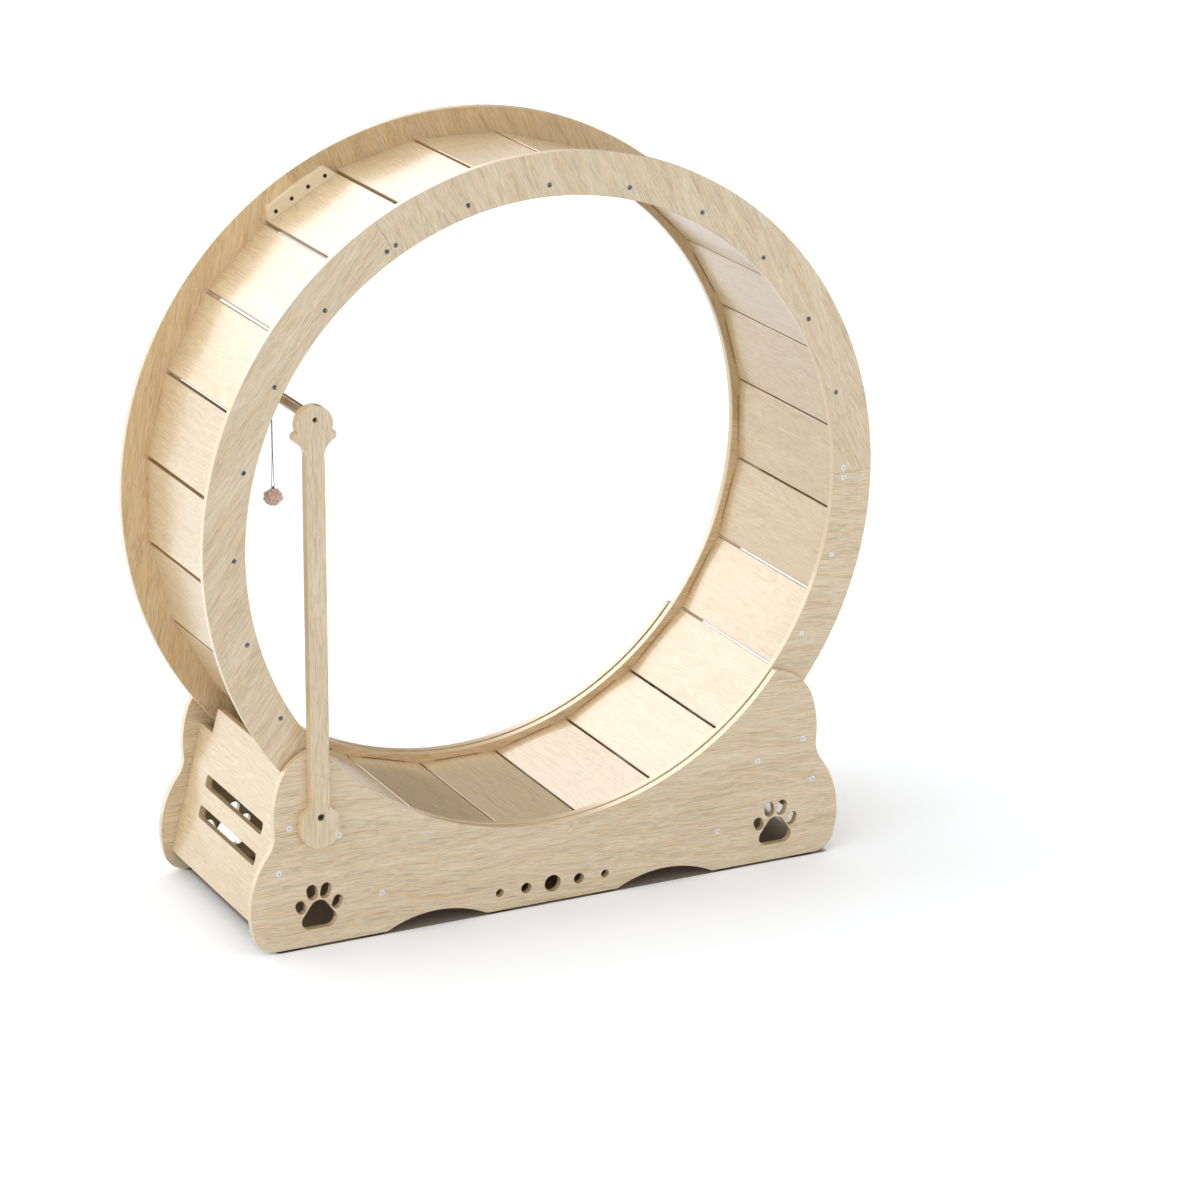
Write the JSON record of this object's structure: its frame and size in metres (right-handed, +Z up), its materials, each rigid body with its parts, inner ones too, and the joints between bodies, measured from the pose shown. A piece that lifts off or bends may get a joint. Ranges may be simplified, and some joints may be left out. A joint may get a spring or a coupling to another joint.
{
  "type": "cat exercise wheel",
  "caption": "Slatted plywood running wheel for a cat, turning on grooved rollers in an open base with leaning end panels, and a fluffy ball hung on a cord from a post.",
  "frame": {"origin": "on the floor, in the middle of the whole object's footprint", "axes": "+X to the right seen from the wheel's front, +Y towards its back, +Z up; the wheel turns about +Y"},
  "size_m": [1.0999, 0.392, 1.1643],
  "materials": {
    "ring_plywood": "clear matt lacquer",
    "slat_plywood": "clear matt lacquer",
    "panel_plywood": "clear matt lacquer",
    "dowel_wood": "sanded",
    "post_wood": "sanded",
    "shaft_steel": "ground",
    "zinc_screw": "zinc plated",
    "dark_screw": "black oxide",
    "bearing_steel": "polished",
    "roller_plastic": "moulded",
    "pad_rubber": "matt",
    "grey_cord": "woven",
    "pink_pompom": "fluffy"
  },
  "bodies": {
    "base": {"front_side_panel": "panel_plywood", "back_side_panel": "panel_plywood", "left_end_panel": "panel_plywood", "right_end_panel": "panel_plywood", "left_cross_rod": "dowel_wood", "right_cross_rod": "dowel_wood", "left_roller_shaft": "shaft_steel", "right_roller_shaft": "shaft_steel", "roller_spacers": "shaft_steel", "base_screws": "zinc_screw", "foot_pads": "pad_rubber", "toy_post": "post_wood", "toy_dowel": "dowel_wood", "post_fasteners": "dark_screw"},
    "wheel": {"front_ring_segment_1": "ring_plywood", "front_ring_segment_2": "ring_plywood", "front_ring_segment_3": "ring_plywood", "back_ring_segment_1": "ring_plywood", "back_ring_segment_2": "ring_plywood", "back_ring_segment_3": "ring_plywood", "slat_01": "slat_plywood", "slat_02": "slat_plywood", "slat_03": "slat_plywood", "slat_04": "slat_plywood", "slat_05": "slat_plywood", "slat_06": "slat_plywood", "slat_07": "slat_plywood", "slat_08": "slat_plywood", "slat_09": "slat_plywood", "slat_10": "slat_plywood", "slat_11": "slat_plywood", "slat_12": "slat_plywood", "slat_13": "slat_plywood", "slat_14": "slat_plywood", "slat_15": "slat_plywood", "slat_16": "slat_plywood", "slat_17": "slat_plywood", "slat_18": "slat_plywood", "slat_19": "slat_plywood", "slat_20": "slat_plywood", "slat_21": "slat_plywood", "slat_22": "slat_plywood", "slat_23": "slat_plywood", "slat_24": "slat_plywood", "front_splice_plates": "panel_plywood", "back_splice_plates": "panel_plywood", "slat_screws": "zinc_screw", "splice_screws": "dark_screw"},
    "front_left_roller": {"front_left_roller": "roller_plastic", "front_left_bearings": "bearing_steel"},
    "front_right_roller": {"front_right_roller": "roller_plastic", "front_right_bearings": "bearing_steel"},
    "back_left_roller": {"back_left_roller": "roller_plastic", "back_left_bearings": "bearing_steel"},
    "back_right_roller": {"back_right_roller": "roller_plastic", "back_right_bearings": "bearing_steel"},
    "toy_hanger": {"toy_loop": "grey_cord"},
    "toy": {"toy_cord": "grey_cord", "toy_ball": "pink_pompom"}
  },
  "joints": [
    {"name": "wheel_spin", "type": "hinge", "parent": "base", "child": "wheel", "pos_m": [0, 0.009, 0.61433], "axis": [0, 1, 0], "continuous": true},
    {"name": "front_left_roller_spin", "type": "hinge", "parent": "base", "child": "front_left_roller", "pos_m": [-0.352, -0.155, 0.172], "axis": [0, 1, 0], "continuous": true},
    {"name": "front_right_roller_spin", "type": "hinge", "parent": "base", "child": "front_right_roller", "pos_m": [0.352, -0.155, 0.172], "axis": [0, 1, 0], "continuous": true},
    {"name": "back_left_roller_spin", "type": "hinge", "parent": "base", "child": "back_left_roller", "pos_m": [-0.352, 0.173, 0.172], "axis": [0, 1, 0], "continuous": true},
    {"name": "back_right_roller_spin", "type": "hinge", "parent": "base", "child": "back_right_roller", "pos_m": [0.352, 0.173, 0.172], "axis": [0, 1, 0], "continuous": true},
    {"name": "toy_swing", "type": "hinge", "parent": "base", "child": "toy_hanger", "pos_m": [-0.38735, -0.033, 0.82029], "axis": [0, 1, 0], "range_deg": [-60, 28]},
    {"name": "toy_sway", "type": "hinge", "parent": "toy_hanger", "child": "toy", "pos_m": [-0.38735, -0.033, 0.8105], "axis": [1, 0, 0], "range_deg": [-45, 45]}
  ],
  "couplings": [
    {"joint": "front_left_roller_spin", "follows": "wheel_spin", "ratio": -36.667},
    {"joint": "front_right_roller_spin", "follows": "wheel_spin", "ratio": -36.667},
    {"joint": "back_left_roller_spin", "follows": "wheel_spin", "ratio": -36.667},
    {"joint": "back_right_roller_spin", "follows": "wheel_spin", "ratio": -36.667}
  ]
}
